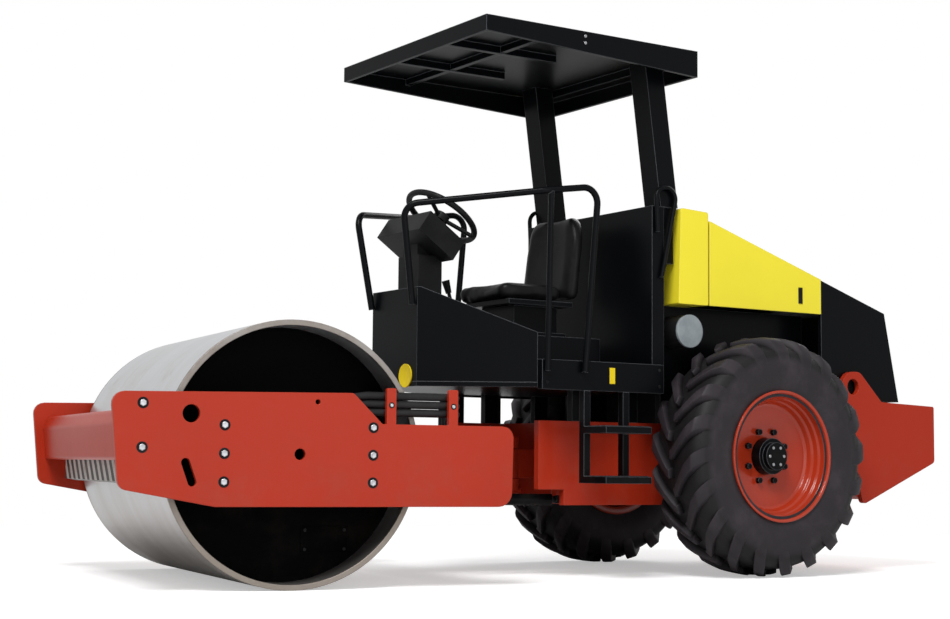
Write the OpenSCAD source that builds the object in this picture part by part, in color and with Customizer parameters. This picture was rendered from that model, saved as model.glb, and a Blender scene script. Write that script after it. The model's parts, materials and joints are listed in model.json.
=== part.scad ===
// Single-drum soil roller with a hinged frame, an open operator's platform and a canopy.
// Millimetres. X points forwards along the rear half, Y to the left, Z up.
// The origin is on the ground, straight under the steering hitch.

/* [Layout] */
// Distance from the hitch pin to the drum's axis
hitch_to_drum = 1420; // [1350:10:1500]
// Distance from the hitch pin to the rear axle
hitch_to_axle = 1210; // [1180:10:1260]
// Steering angle at which the machine is parked, minus is to the right
rest_steer = -9; // [-20:1:20]

/* [Drum] */
// Outside diameter of the drum
drum_d = 1220; // [1160:10:1240]
// Width of the drum
drum_w = 1676; // [1600:4:1700]
// Thickness of the drum's shell
drum_shell_t = 25; // [15:1:35]
// How far each head lies inside the drum's end
head_inset = 180; // [160:10:240]
// Thickness of each head
head_t = 20; // [12:1:30]

/* [Front frame] */
// Width over the two side plates
frame_w = 1850; // [1820:10:1900]
// Thickness of each side plate
plate_t = 25; // [18:1:32]
// Height of the plates' upper edge above the ground
plate_top = 890; // [860:5:910]
// Height of the plates' lower edge
plate_low = 376; // [360:2:400]
// Reach of the plates in front of the drum's axis
plate_front = 857; // [840:1:900]
// Reach of the plates behind the drum's axis
plate_rear = 1060; // [1030:5:1080]
// Radius of the lifting eyes in the side plates
front_eye_r = 40; // [30:1:45]

/* [Hitch] */
// Radius of the hitch pin
hitch_pin_r = 40; // [30:1:50]
// Radius of the hitch boss and the yoke's ears
hitch_ear_r = 110; // [90:1:120]
// Radial play of pins in their bores
pin_play = 0.3; // [0.2:0.1:0.6]

/* [Rear wheels] */
// Diameter over the tyre's lugs
tyre_d = 1265; // [1220:5:1290]
// Width of the tyre
tyre_w = 378; // [360:2:390]
// Diameter over the rim's flanges
rim_d = 690; // [660:5:700]
// Distance between the flanges of the rim
rim_w = 330; // [310:2:340]
// Half of the distance between the two wheels' middles
half_track = 696; // [690:2:720]
// Number of lugs on each half of a tyre
lug_count = 20; // [16:1:24]
// Height of a lug over the tyre's crown
lug_h = 36; // [28:1:42]
// Number of wheel nuts
nut_count = 8; // [6:1:10]

/* [Rear frame] */
// Width over the long plates of the rear frame
chassis_w = 840; // [820:4:860]
// Thickness of the long plates
chassis_t = 40; // [25:1:45]
// Height of the lower edge of the rear frame
chassis_low = 370; // [360:2:380]
// Height of the upper edge of the rear frame
chassis_top = 800; // [790:2:820]
// Distance from the axle to the counterweight's front face
axle_to_weight = 790; // [780:5:820]
// Length of the counterweight
weight_len = 645; // [600:5:700]
// Height of the counterweight's upper face
weight_top = 950; // [940:2:960]
// Width over the counterweight's side plates
weight_w = 1240; // [1200:4:1280]
// Thickness of the counterweight's side plates
weight_plate_t = 30; // [20:1:35]
// Radius of the lifting eyes in the counterweight's plates
rear_eye_r = 45; // [30:1:50]

/* [Platform] */
// Height of the floor's underside
floor_low = 960; // [950:2:970]
// Thickness of the floor
floor_t = 25; // [15:1:30]
// Width over the platform's side skirts
deck_w = 1200; // [1160:4:1220]
// Width of the nose's front face
nose_w = 440; // [400:4:480]
// Reach of the nose in front of the hitch
nose_x = 650; // [620:5:680]
// Where the tapered nose meets the straight skirts
skirt_front = 150; // [100:5:180]
// Where the skirts end in front of the tyres
skirt_rear = -630; // [-640:2:-600]
// Height of the nose at its front
nose_top = 1460; // [1420:5:1500]
// Height of the nose panels where they end at the back
nose_end_top = 1235; // [1200:5:1260]
// Height of the rear wall that carries the canopy posts
wall_top = 1940; // [1900:5:1980]
// Radius of the handrail tubes
rail_r = 17; // [14:1:20]

/* [Canopy] */
// Height of the canopy's upper face over the rear wall
roof_rise = 820; // [760:5:880]
// Width of the canopy
roof_w = 1410; // [1360:5:1460]
// Distance from the posts' tops back to the canopy's rear edge
roof_setback = 181; // [175:2:220]
// Length of the canopy
roof_len = 1346; // [1300:5:1400]
// Depth of the canopy's rim at its front
roof_rim_front = 80; // [70:5:100]
// Depth of the canopy's rim at its back
roof_rim_rear = 140; // [120:5:160]
// Thickness of the canopy's sheet
roof_t = 16; // [10:1:25]
// Lean of the canopy posts
post_lean = 8; // [4:0.5:10]

/* [Engine cover] */
// Height of the cover's lower edge
cover_low = 1430; // [1420:2:1450]
// Width of the covers
cover_w = 1170; // [1120:4:1176]
// Front face of the tank behind the wall
tank_front = -745; // [-755:2:-735]
// Length of the tank
tank_len = 205; // [190:5:220]
// Length of the hinged hood
hood_len = 818; // [780:2:824]
// Height of the hood at its front
hood_top = 1885; // [1860:5:1890]
// Fall of the hood's top over its length
hood_fall = 260; // [220:5:280]
// Thickness of the hood's panels
hood_t = 12; // [6:1:20]
// Number of louvres in the rear grille
louvre_count = 9; // [6:1:12]

/* [Hidden] */
$fn = 64;
drum_r = drum_d / 2;
drum_z = drum_r;
plate_y = frame_w / 2;
plate_in = plate_y - plate_t;
tyre_r = tyre_d / 2;
axle_x = -hitch_to_axle;
axle_z = tyre_r;
chassis_y = chassis_w / 2;
chassis_in = chassis_y - chassis_t;
weight_x = axle_x - axle_to_weight;
weight_y = weight_w / 2;
weight_in = weight_y - weight_plate_t;
floor_top = floor_low + floor_t;
deck_y = deck_w / 2;
cover_y = cover_w / 2;
tank_rear = tank_front - tank_len;
hood_gap = 12;
hood_front = tank_rear - hood_gap;
hood_rear = hood_front - hood_len;
hood_end_top = hood_top - hood_fall;

red = "firebrick";
yellow = "gold";
black = "#202225";
steel = "silver";

// Shared shapes and functions

function unit(v) = v / norm(v);

// Points of one corner of an outline, rounded with radius r between its neighbours a and b
function corner(a, p, b, r, n = 5) =
    r <= 0 ? [p] :
    let (
        u = unit(a - p), v = unit(b - p), half = acos(u * v) / 2,
        c = p + unit(u + v) * r / sin(half),
        s = p + u * r / tan(half), e = p + v * r / tan(half),
        a0 = atan2(s[1] - c[1], s[0] - c[0]), a1 = atan2(e[1] - c[1], e[0] - c[0]),
        turn = (a1 - a0 + 540) % 360 - 180
    ) [for (i = [0 : n]) c + r * [cos(a0 + turn * i / n), sin(a0 + turn * i / n)]];

// An outline from [x, z, corner radius] entries
function rounded(pts) = [
    for (i = [0 : len(pts) - 1])
        let (n = len(pts), p = pts[i], a = pts[(i + n - 1) % n], b = pts[(i + 1) % n])
            each corner([a[0], a[1]], [p[0], p[1]], [b[0], b[1]], p[2])
];

// A plate of thickness t, drawn in X and Z, with its left face at y
module plate_xz(y, t) translate([0, y, 0]) rotate([90, 0, 0]) linear_extrude(t) children();

// A round bar or hole along Y, from y0 to y1
module bar_y(r, y0, y1) translate([0, y1, 0]) rotate([90, 0, 0]) cylinder(r = r, h = y1 - y0);

// A box between two corners
module block(a, b) translate(a) cube(b - a);

module both_sides() {
    children();
    mirror([0, 1, 0]) children();
}

// The front half stands at the parked steering angle
module steered() rotate([0, 0, rest_steer]) children();

// Places children on the drum's axis, in the front half
module at_drum() steered() translate([hitch_to_drum, 0, drum_z]) children();

// Places children on one rear wheel, with the outer side towards +Y of the child
module at_wheel(side)
    translate([axle_x, side * half_track, axle_z]) mirror([0, side < 0 ? 1 : 0, 0]) children();

// A body turned about Y from an outline of [radius, y] points
module turned_y() rotate([-90, 0, 0]) rotate_extrude($fn = 96) children();

// A tube of radius r along a list of points, with its rings set out from a direction ref
module tube(path, r, ref, sides = 10) {
    n = len(path);
    rings = [
        for (i = [0 : n - 1])
            let (
                t = unit(path[min(i + 1, n - 1)] - path[max(i - 1, 0)]),
                u = unit(cross(t, ref)), v = cross(t, u)
            ) each [
                for (k = [0 : sides - 1]) let (a = 360 * k / sides) path[i] + r * (cos(a) * u + sin(a) * v)
            ]
    ];
    walls = [
        for (i = [0 : n - 2]) for (k = [0 : sides - 1])
            let (a = i * sides + k, b = i * sides + (k + 1) % sides) [a, a + sides, b + sides, b]
    ];
    ends = [[for (k = [0 : sides - 1]) k], [for (k = [sides - 1 : -1 : 0]) (n - 1) * sides + k]];
    polyhedron(points = rings, faces = concat(walls, ends), convexity = 6);
}

// Rounds the inner corners of a path in space
function bent(path, r, n = 5) = [
    for (i = [0 : len(path) - 1])
        each i == 0 || i == len(path) - 1 ? [path[i]] :
            let (
                p = path[i], u = unit(path[i - 1] - p), v = unit(path[i + 1] - p), half = acos(u * v) / 2,
                s = p + u * r / tan(half), e = p + v * r / tan(half),
                c = p + unit(u + v) * r / sin(half), sweep = 180 - 2 * half
            ) [for (k = [0 : n]) let (f = k / n)
                c + (sin((1 - f) * sweep) * (s - c) + sin(f * sweep) * (e - c)) / sin(sweep)]
];

// Drum

module drum_shell()
    color(steel) at_drum() turned_y()
        translate([drum_r - drum_shell_t, -drum_w / 2]) square([drum_shell_t, drum_w]);

shaft_r = 60;
boss_r = 120;
boss_len = 45;
head_play = 0.3;
head_out = drum_w / 2 - head_inset;

module drum_heads()
    color(black) at_drum() both_sides()
        difference() {
            union() {
                bar_y(drum_r - drum_shell_t - head_play, head_out - head_t, head_out);
                bar_y(boss_r, head_out - 1, head_out + boss_len);
            }
            bar_y(shaft_r + pin_play, head_out - head_t - 1, head_out + boss_len + 1);
        }

mount_dx = 350;
mount_dz = 125;
mount_r = 45;
mount_len = 80;
carrier_t = 25;
carrier_out = plate_in - mount_len;

module drum_carriers()
    color(black) at_drum() both_sides() {
        plate_xz(carrier_out, carrier_t)
            difference() {
                polygon(rounded([
                    [-430, -90, 40], [-300, -215, 60], [300, -215, 60], [430, -90, 40],
                    [430, 90, 40], [300, 215, 60], [-300, 215, 60], [-430, 90, 40]
                ]));
                circle(r = shaft_r - 10);
            }
        bar_y(shaft_r, head_out - head_t, carrier_out - carrier_t);
    }

module rubber_mounts()
    color("dimgray") at_drum() both_sides()
        for (x = [-mount_dx, mount_dx]) for (z = [-mount_dz, 0, mount_dz])
            translate([x, 0, z]) bar_y(mount_r, carrier_out, plate_in);

// Front frame, in X and Z from the drum's axis and the ground

low_top = 752;
ramp_top_x = -252;
ramp_low_x = -394;
clip_w = 46;
clip_top = 917;
clip_x = [-438, -748];
eye_x = 502;
eye_z = 782;

// The upper edge of one hose clip, from its back corner to its front corner
function clip(x) = [
    [x - clip_w / 2, low_top, 0], [x - clip_w / 2, clip_top, 8],
    [x + clip_w / 2, clip_top, 8], [x + clip_w / 2, low_top, 0]
];

module plate_outline()
    difference() {
        polygon(rounded(concat(
            [
                [plate_front, plate_top - 18, 55], [plate_front - 40, 453, 45], [388, plate_low, 60],
                [-plate_rear + 8, plate_low, 70], [-plate_rear, low_top, 55]
            ],
            clip(clip_x[1]), clip(clip_x[0]),
            [[ramp_low_x, low_top, 0], [ramp_top_x, plate_top, 25]]
        )));
        translate([0, drum_z]) circle(r = 26);
        translate([eye_x, eye_z]) circle(r = front_eye_r);
        translate([508, 526]) rotate(-20) {
            translate([-20, -45]) square([40, 90]);
            for (s = [-45, 45]) translate([0, s]) circle(r = 20);
        }
        translate([-81, 846]) circle(r = 12);
    }

module side_plates()
    color(red) steered() translate([hitch_to_drum, 0, 0])
        both_sides() plate_xz(plate_y, plate_t) plate_outline();

beam_front = 800;
beam_back = 690;
beam_low = 575;
beam_top = 800;

module front_beam()
    color(red) steered() translate([hitch_to_drum, 0, 0])
        plate_xz(plate_in, 2 * plate_in)
            polygon(rounded([
                [beam_back, beam_low, 12], [beam_front - 15, beam_low, 18],
                [beam_front, beam_top - 60, 45], [beam_front - 25, beam_top, 30], [beam_back, beam_top, 12]
            ]));

module scraper_bar()
    color(black) steered() translate([hitch_to_drum, 0, 0])
        plate_xz(plate_in - 60, 2 * plate_in - 120)
            polygon([
                [beam_back, beam_low + 60], [beam_back - 12, beam_low + 60], [beam_back - 12, beam_low - 85],
                [beam_back - 60, beam_low - 95], [beam_back - 60, beam_low - 107], [beam_back, beam_low - 97]
            ]);

cross_front = 720;
cross_back = 580;
cross_low = 430;
cross_top = 740;

module rear_beam()
    color(red) steered() plate_xz(plate_in, 2 * plate_in)
        polygon(rounded([
            [cross_back, cross_low, 20], [cross_front, cross_low, 20],
            [cross_front, cross_top, 20], [cross_back, cross_top, 20]
        ]));

boss_low = 505;
boss_top = 655;
ear_t = 60;
ear_gap = 5;

cap_r = 80;
cap_h = 70;

module hitch_yoke()
    color(red) steered() {
        for (z = [boss_low - ear_gap - ear_t, boss_top + ear_gap])
            translate([0, 0, z]) union() {
                cylinder(r = hitch_ear_r, h = ear_t);
                translate([0, -hitch_ear_r, 0]) cube([cross_back, 2 * hitch_ear_r, ear_t]);
            }
        translate([0, 0, boss_low - ear_gap - 1])
            cylinder(r = hitch_pin_r, h = boss_top - boss_low + 2 * ear_gap + 2);
        translate([0, 0, boss_top + ear_gap + ear_t - 1]) rotate_extrude()
            polygon(concat([[0, 0]], [for (a = [0 : 10 : 90]) [cap_r * cos(a), cap_h * sin(a)]]));
    }

hose_r = 15;
hose_y = plate_in - hose_r - 0.4;

hose_pitch = 38;

module drum_hoses()
    color("#151515") steered() translate([hitch_to_drum, 0, 0])
        for (i = [0 : 2]) let (z = 806 + i * hose_pitch, y = hose_y - 110 - i * hose_pitch)
            tube(bent([
                [-150, hose_y, z - 25], [-330, hose_y, z], [-790, hose_y, z], [-790, y, z - 12],
                [-790, y, cross_top + 1]
            ], min(30, z - cross_top - 14) + 4 * i), hose_r, [0.3, 0.4, 0.2]);

// Rear frame

axle_r = 100;
axle_bulge_r = 165;
stub_r = 60;
hub_in = 500;
stub_end = 690;
cross_x = -290;
cross_t = 40;
arm_y = 85;
chassis_front = -120;
cheek_front = 40;
cheek_low = 450;
ram_x = -220;
ram_y = 240;
ram_z = 395;
ram_pin_r = 12;
ram_eye_r = 26;
lug_t = 30;
ram_lug_r = 40;
ram_lug_z = ram_z + 25;

module rear_frame()
    color(red) {
        both_sides() difference() {
            plate_xz(chassis_y, chassis_t)
                polygon([
                    [chassis_front, chassis_low], [chassis_front, cheek_low], [cheek_front, cheek_low],
                    [cheek_front, chassis_top], [weight_x, chassis_top],
                    [weight_x, chassis_low + 60], [weight_x + 200, chassis_low]
                ]);
            translate([axle_x, 0, axle_z]) bar_y(axle_r + pin_play, chassis_in - 1, chassis_y + 1);
        }
        difference() {
            union() {
                block([cross_x - cross_t, -chassis_in, chassis_low], [cross_x, chassis_in, chassis_top]);
                block([cross_x - 1, -arm_y, boss_low], [0, arm_y, boss_top]);
                translate([0, 0, boss_low]) cylinder(r = hitch_ear_r, h = boss_top - boss_low);
                both_sides() {
                    block(
                        [cross_x - 1, ram_y - ram_lug_r, ram_lug_z],
                        [ram_x, ram_y + ram_lug_r, ram_lug_z + lug_t]
                    );
                    translate([ram_x, ram_y, ram_lug_z]) cylinder(r = ram_lug_r, h = lug_t);
                    translate([ram_x, ram_y, ram_z - 22]) cylinder(r = ram_pin_r, h = 60);
                }
            }
            translate([0, 0, boss_low - 1]) cylinder(r = hitch_pin_r + pin_play, h = boss_top - boss_low + 2);
        }
    }

module rear_axle()
    color(black) translate([axle_x, 0, axle_z]) {
        bar_y(axle_r, -hub_in, hub_in);
        bar_y(axle_bulge_r, -130, 130);
        bar_y(stub_r, -stub_end, stub_end);
    }

tab_r = 85;
tab_x = weight_x + 10;
tab_z = 1030;

module weight_outline()
    polygon(rounded([
        [weight_x - 60, chassis_low, 25], [weight_x - weight_len, chassis_low + 242, 25],
        [weight_x - weight_len, weight_top - 15, 12], [weight_x - 215, weight_top, 20],
        [tab_x - tab_r * 0.62, tab_z + tab_r, 60], [tab_x + tab_r, tab_z + tab_r, 80],
        [tab_x + tab_r - 6, tab_z - 40, 120]
    ]));

module counterweight()
    color(red) {
        both_sides() plate_xz(weight_y, weight_plate_t)
            difference() {
                weight_outline();
                translate([tab_x, tab_z]) circle(r = rear_eye_r);
            }
        plate_xz(weight_in + 1, 2 * weight_in + 2)
            polygon([
                [weight_x, weight_top], [weight_x, chassis_low + 60], [weight_x - 90, chassis_low + 30],
                [weight_x - weight_len + 20, chassis_low + 255], [weight_x - weight_len + 20, weight_top - 16]
            ]);
    }

bay_front = tank_front - 10;
bay_rear = hood_rear - 10;

module engine_block()
    color("#3a3d40") block([hood_rear + 40, -chassis_in, chassis_top], [hood_front - 60, chassis_in, 1350]);

module bay_walls()
    color(black) both_sides()
        plate_xz(chassis_y, chassis_t)
            polygon([
                [bay_front, chassis_top], [bay_front, cover_low],
                [bay_rear, cover_low], [bay_rear, chassis_top]
            ]);

module radiator()
    color("#2a2c2e") block([weight_x - 60, -480, weight_top], [weight_x - 5, 480, 1440]);

// Engine cover

hinge_x = hood_front - 15;
hinge_z = hood_top + 15;
hinge_pin_r = 8;
knuckle_r = 15;
knuckle_w = 60;
lug_y = [-300, 300];

module tank_cover()
    color(yellow) {
        plate_xz(cover_y, cover_w)
            polygon(rounded([
                [tank_front, cover_low, 6], [tank_front - 15, wall_top, 14], [tank_rear, wall_top - 10, 14],
                [tank_rear, cover_low, 6]
            ]));
        for (y = lug_y) {
            translate([hinge_x, y, hinge_z]) bar_y(knuckle_r, -15, 15);
            block([hinge_x, y - 15, hinge_z - 10], [tank_rear + 1, y + 15, hinge_z + 10]);
            translate([hinge_x, y, hinge_z]) bar_y(hinge_pin_r, -knuckle_w - 20, knuckle_w + 20);
        }
    }

hood_slope = hood_fall / hood_len;
function hood_z(x) = hood_top - (hood_front - x) * hood_slope;

module hood()
    color(yellow) {
        difference() {
            plate_xz(cover_y, cover_w)
                polygon([
                    [hood_front, cover_low], [hood_front, hood_top],
                    [hood_rear, hood_end_top], [hood_rear, cover_low]
                ]);
            plate_xz(cover_y - hood_t, cover_w - 2 * hood_t)
                polygon([
                    [hood_front + 1, cover_low - 1], [hood_front + 1, hood_top - hood_t],
                    [hood_rear - 1, hood_end_top - hood_t], [hood_rear - 1, cover_low - 1]
                ]);
        }
        for (y = lug_y) for (s = [-1, 1])
            translate([0, y + s * 42, 0]) difference() {
                union() {
                    translate([hinge_x, 0, hinge_z]) bar_y(knuckle_r, -22, 22);
                    block([hinge_x - 10, -22, hood_z(hinge_x - 10) - hood_t / 2], [hinge_x + 8, 22, hinge_z]);
                }
                translate([hinge_x, 0, hinge_z]) bar_y(hinge_pin_r + pin_play, -23, 23);
            }
    }

seam = 0.3;
housing_front = hood_rear - seam;
housing_low = weight_top + 5;
housing_wall = 20;
housing_back_top = -2280;
housing_back_low = -2390;
housing_back_z = 1460;
louvre_low = 1010;
louvre_pitch = 44;

module rear_housing()
    color(black) difference() {
        plate_xz(cover_y, cover_w)
            polygon([
                [housing_front, housing_low], [housing_front, hood_end_top - 5],
                [housing_back_top, housing_back_z], [housing_back_low, housing_low]
            ]);
        plate_xz(cover_y - housing_wall, cover_w - 2 * housing_wall)
            polygon([
                [housing_front + 1, housing_low - 1], [housing_front + 1, hood_end_top - 5 - housing_wall],
                [housing_back_top + housing_wall, housing_back_z - housing_wall],
                [housing_back_low + housing_wall, housing_low - 1]
            ]);
        for (i = [0 : louvre_count - 1])
            translate([housing_back_low - 60, -420, louvre_low + i * louvre_pitch]) rotate([0, -25, 0])
                cube([200, 840, 20]);
    }

filter_r = 88;
filter_x = -845;
filter_z = 1290;

module air_filter()
    color("lightslategray") translate([filter_x, 0, filter_z]) bar_y(filter_r, chassis_y, chassis_y + 140);

// Rear wheels, drawn for the left side with the outer face towards +Y

bead_r = 312;
lug_pitch = 360 / lug_count;
lug_lean = 19;
lug_top = asin(22 / tyre_r);
lug_foot = asin(31 / tyre_r);
crown_r = tyre_r - lug_h;
// Keeps the flats between the lugs' feet off the round rim
flat_r = 1 / cos(lug_pitch / 2 - lug_foot);

// One half of the tyre from crown to bead: offset, carcass radius, radius over a lug, share of the lean
tyre_rows = [
    [10, crown_r, crown_r, 0],
    [18, crown_r, tyre_r, 0.02],
    [0.28 * tyre_w, crown_r - 6, tyre_r - 4, 0.55],
    [0.42 * tyre_w, crown_r - 24, tyre_r - 17, 0.80],
    [0.48 * tyre_w, crown_r - 62, tyre_r - 72, 0.95],
    [tyre_w / 2, crown_r - 120, crown_r - 120, 1],
    [0.48 * tyre_w, rim_d / 2 + 45, rim_d / 2 + 45, 1],
    [rim_w / 2, flat_r * (rim_d / 2 + 1), flat_r * (rim_d / 2 + 1), 1],
    [rim_w / 2, flat_r * bead_r, flat_r * bead_r, 1]
];

// Four points for each lug of a row: its foot, its two upper edges and its other foot
function lug_ring(row, half) = [
    for (k = [0 : lug_count - 1], j = [0 : 3])
        let (
            a = (k + (half < 0 ? 0.5 : 0)) * lug_pitch + lug_lean * row[3]
                + [-lug_foot, -lug_top, lug_top, lug_foot][j] * (1 + 0.3 * row[3]),
            r = j == 1 || j == 2 ? row[2] : row[1]
        )
        [r * cos(a), half * row[0], r * sin(a)]
];

module tyre(side) {
    n = 4 * lug_count;
    last = len(tyre_rows) - 1;
    // The halves are half a pitch apart, so their rings are joined two points on
    function spot(half, row, i) = ((half < 0 ? last + 1 : 0) + row) * n + (i + n) % n;
    function quad(a, b, c, d) = [[a, b, c], [a, c, d]];
    walls = [
        for (row = [0 : last - 1], i = [0 : n - 1]) each concat(
            quad(spot(1, row, i), spot(1, row, i + 1), spot(1, row + 1, i + 1), spot(1, row + 1, i)),
            quad(spot(-1, row, i), spot(-1, row + 1, i), spot(-1, row + 1, i + 1), spot(-1, row, i + 1))
        )
    ];
    joins = [
        for (i = [0 : n - 1]) each concat(
            quad(spot(-1, 0, i - 2), spot(-1, 0, i - 1), spot(1, 0, i + 1), spot(1, 0, i)),
            quad(spot(1, last, i), spot(1, last, i + 1), spot(-1, last, i - 1), spot(-1, last, i - 2))
        )
    ];
    color("#1c1b1d") at_wheel(side)
        polyhedron([for (half = [1, -1], row = tyre_rows) each lug_ring(row, half)], concat(walls, joins));
}

rim_wall = 12;
flange_t = 14;
rim_play = 0.3;
rim_y = rim_w / 2;
seat_r = bead_r - rim_play;
well_r = 270;
disc_y = 40;
hub_r = 95;
hub_flange_r = 165;
nut_pcd = 275;

module rim(side)
    color(red) at_wheel(side) difference() {
        turned_y() {
            polygon([
                [seat_r, -rim_y], [seat_r, -rim_y - rim_play], [rim_d / 2, -rim_y - rim_play],
                [rim_d / 2, -rim_y - flange_t], [bead_r - rim_wall, -rim_y - flange_t], [bead_r - 16, -80],
                [well_r, -55], [well_r, 55], [bead_r - 16, 90], [bead_r - rim_wall, rim_y + flange_t],
                [rim_d / 2, rim_y + flange_t], [rim_d / 2, rim_y + rim_play], [seat_r, rim_y + rim_play],
                [seat_r, 105], [well_r + rim_wall, 62], [well_r + rim_wall, -62], [seat_r, -95]
            ]);
            polygon([
                [hub_r + 1, disc_y], [hub_flange_r + 10, disc_y], [215, disc_y + 12],
                [well_r + 2, 5], [well_r + 2, -12],
                [205, disc_y - 8], [hub_flange_r, disc_y - 16], [hub_r + 1, disc_y - 16]
            ]);
        }
        for (i = [0 : nut_count - 1]) rotate([0, 360 * (i + 0.5) / nut_count, 0])
            translate([nut_pcd / 2, 0, 0]) bar_y(14, disc_y - 30, disc_y + 30);
    }

module hub(side)
    color(black) at_wheel(side) difference() {
        union() {
            bar_y(hub_r, -160, disc_y + 60);
            bar_y(hub_r - 22, disc_y + 59, disc_y + 90);
            bar_y(hub_flange_r, disc_y - 50, disc_y - 16);
            for (i = [0 : nut_count - 1]) rotate([0, 360 * (i + 0.5) / nut_count, 0])
                translate([nut_pcd / 2, 0, 0]) {
                    bar_y(12, disc_y - 20, disc_y + 14);
                    bar_y(17, disc_y + 0.3, disc_y + 22, $fn = 6);
                }
        }
        bar_y(stub_r + pin_play, -161, stub_end - half_track + 5);
    }

// Operator's platform

skirt_t = 40;

module deck_outline(inset) polygon([
    [nose_x, -nose_w / 2], [nose_x, nose_w / 2], [skirt_front, deck_y - inset], [skirt_rear, deck_y - inset],
    [skirt_rear, -deck_y + inset], [skirt_front, -deck_y + inset]
]);

skirt_low = floor_low - 10;
bracket_x = [-600, -260];
bracket_w = 90;
skirt_top = 1100;

module deck()
    color(black) {
        translate([0, 0, floor_low]) linear_extrude(floor_t) deck_outline(skirt_t);
        both_sides()
            block([skirt_rear, deck_y - skirt_t - 1, skirt_low], [skirt_front, deck_y, skirt_top]);
        both_sides() for (x = bracket_x)
            block([x, chassis_in, chassis_top], [x + bracket_w, chassis_y, floor_low + 1]);
    }

nose_wall = 15;

module nose_panels()
    color(black) difference() {
        translate([0, 0, floor_top]) linear_extrude(nose_top - floor_top) difference() {
            deck_outline(skirt_t);
            polygon([
                [nose_x - nose_wall, -nose_w / 2 + nose_wall], [nose_x - nose_wall, nose_w / 2 - nose_wall],
                [skirt_front - 12, deck_y - skirt_t - nose_wall],
                [skirt_front - 12, -deck_y + skirt_t + nose_wall]
            ]);
            translate([skirt_rear - 1, -deck_y]) square([skirt_front - skirt_rear + 1, deck_w]);
        }
        plate_xz(deck_y, deck_w) polygon([
            [nose_x - nose_wall, nose_top], [skirt_front - 1, nose_end_top], [skirt_front - 1, nose_top + 1],
            [nose_x - nose_wall, nose_top + 1]
        ]);
    }

wall_front = -585;
wall_back = -665;
wall_y = deck_y - skirt_t - 1;

module rear_wall()
    color(black) block([wall_back, -wall_y, floor_top], [wall_front, wall_y, wall_top]);

riser_front = 100;
riser_back = -420;
riser_y = 330;
riser_top = 1240;
base_top = 1435;
cushion_top = 1540;
seat_top = 1930;

module seat_base()
    color(black) {
        block([riser_back, -riser_y, floor_top], [riser_front, riser_y, riser_top]);
        block([-300, -190, riser_top - 1], [40, 190, riser_top + 30]);
        block([-270, -150, riser_top + 29], [10, 150, base_top - 25]);
        block([-320, -220, base_top - 26], [90, 220, base_top]);
    }

module seat_cushion()
    color("#18181a") plate_xz(250, 500)
        polygon(rounded([
            [-258, base_top, 20], [130, base_top, 30], [145, cushion_top, 45], [-250, cushion_top - 15, 20]
        ]));

module seat_back()
    color("#18181a") plate_xz(240, 480)
        polygon(rounded([
            [-262, base_top, 8], [-266, cushion_top + 20, 30], [-330, seat_top, 40],
            [-425, seat_top - 10, 40], [-380, base_top, 30]
        ]));

console_x = 500;
console_z = 1730;
console_tilt = 35;
head_h = 120;
wheel_r = 195;
wheel_tube_r = 16;
wheel_lift = 122;
wheel_shift = -30;
wheel_seat = 0.3;

module at_console() translate([console_x, 0, console_z]) rotate([0, -console_tilt, 0]) children();

module console()
    color(black) {
        block([430, -100, floor_top], [570, 100, 1640]);
        block([435, -70, 1630], [560, 70, 1700]);
        at_console() cube([250, 420, head_h], center = true);
    }

module steering_wheel()
    color("#111213") at_console() translate([wheel_shift, 0, head_h / 2 + wheel_lift]) {
        rotate_extrude() translate([wheel_r, 0]) circle(r = wheel_tube_r, $fn = 24);
        translate([0, 0, -30]) cylinder(r = 42, h = 40);
        translate([0, 0, wheel_seat - wheel_lift]) cylinder(r = 22, h = wheel_lift - 20);
        for (a = [30, 150, 270]) rotate([0, 0, a]) rotate([0, 90, 0]) translate([10, 0, 30])
            cylinder(r = 11, h = wheel_r - 30);
    }

lever_x = 85;
lever_y = -280;

module drive_lever()
    color(black) translate([lever_x, lever_y, riser_top]) {
        translate([-60, -45, 0]) cube([90, 90, 90]);
        translate([0, 0, 85]) rotate([0, 18, 0]) {
            cylinder(r = 10, h = 190);
            translate([0, 0, 180]) cylinder(r1 = 16, r2 = 22, h = 70);
        }
    }

rail_out = deck_y + rail_r + 0.3;

module handrails()
    color(black) both_sides() {
        tube(bent([
            [nose_x + rail_r + 0.3, nose_w / 2 - 20, nose_top - 90], [nose_x + 98, nose_w / 2 + 12, 1866],
            [skirt_front - 10, rail_out, wall_top + 5], [-185, rail_out, wall_top + 54],
            [-102, rail_out, skirt_top - 60]
        ], 75), rail_r, [0.6, 0.8, 0]);
        tube(
            [[skirt_front - 20, rail_out - 2, skirt_top - 60], [skirt_front - 37, rail_out, wall_top + 2]],
            rail_r - 2, [0.6, 0.8, 0]
        );
    }

grab_r = 12;
grab_y = wall_y + grab_r + 0.3;
grab_top = wall_top + 100;

module grab_handles()
    color(black) both_sides()
        tube(bent([
            [wall_front - 27, grab_y, wall_top - 140], [wall_front - 15, grab_y, grab_top],
            [wall_back - 83, grab_y, grab_top], [wall_back + 25, grab_y, wall_top - 380]
        ], 60), grab_r, [0, 1, 0]);

step_x0 = -400;
step_x1 = -110;
step_out = deck_y + 180;
step_zs = [485, 735];
step_t = 35;

module steps()
    color(black) both_sides() {
        for (x = [step_x0, step_x1 - 40])
            block([x, deck_y - skirt_t, step_zs[0]], [x + 40, deck_y, skirt_low]);
        for (z = step_zs) block([step_x0, deck_y - 1, z], [step_x1, step_out, z + step_t]);
    }

// Canopy

post_w = 130;
post_d = 116;
post_y = 490;
post_over = 200;
post_foot = 75;
post_foot_w = post_w - 20;
post_foot_h = 300;
roof_top = wall_top + roof_rise;
roof_under = roof_top - roof_t;
post_x = wall_back - 40;
post_top_x = post_x + tan(post_lean) * (roof_rise - roof_t);
roof_rear = post_top_x - roof_setback;
roof_front = roof_rear + roof_len;
roof_y = roof_w / 2;

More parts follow.
